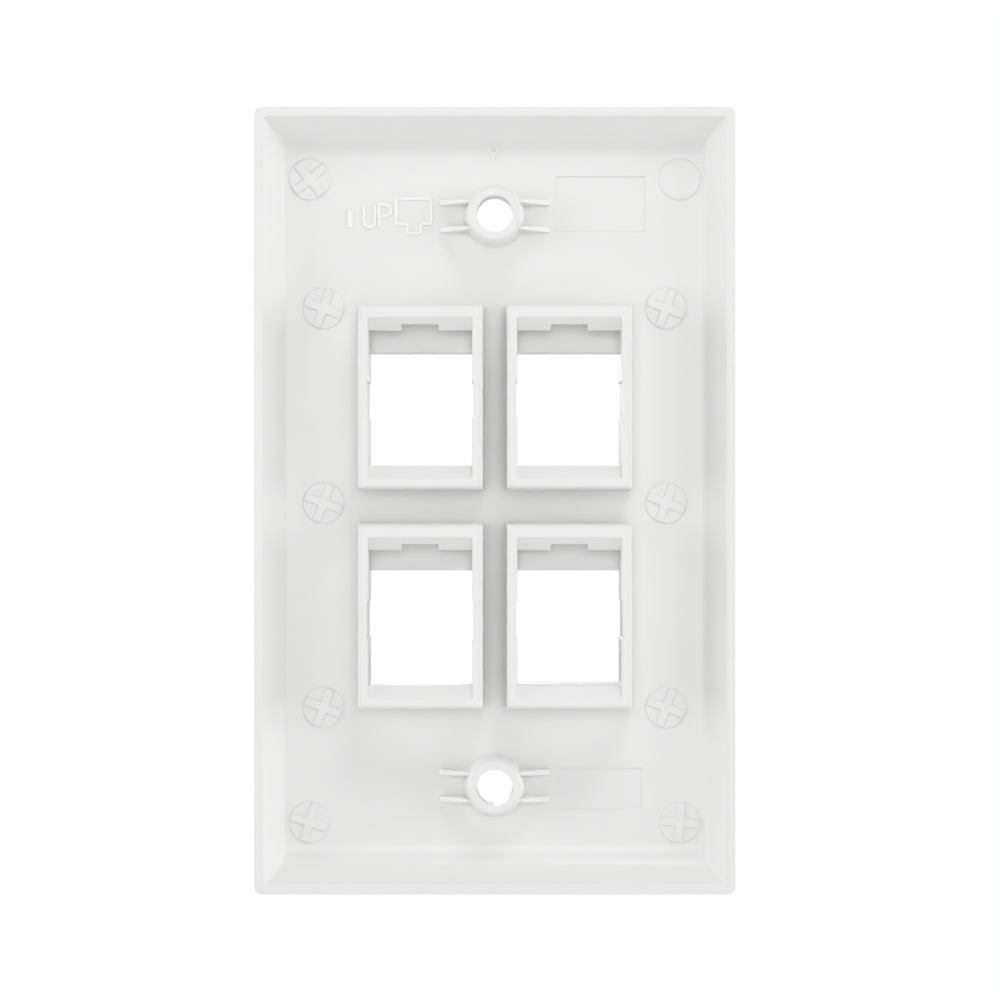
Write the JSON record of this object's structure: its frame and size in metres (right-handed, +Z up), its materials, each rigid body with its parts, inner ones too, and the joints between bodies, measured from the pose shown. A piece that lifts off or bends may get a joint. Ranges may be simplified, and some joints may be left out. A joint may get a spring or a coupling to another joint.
{
  "type": "keystone faceplate",
  "caption": "Rectangular moulded wall plate with rectangular keystone jack openings in a grid and two countersunk screw holes, dished at the back.",
  "frame": {"origin": "midway between the two screw holes, in the plane of the rim that meets the wall", "axes": "+Z up as mounted, +Y into the wall, -Y into the room"},
  "size_m": [0.0698, 0.01, 0.1142],
  "materials": {
    "white_plastic": "satin-gloss moulded ABS"
  },
  "bodies": {
    "root": {"faceplate": "white_plastic"}
  },
  "joints": []
}
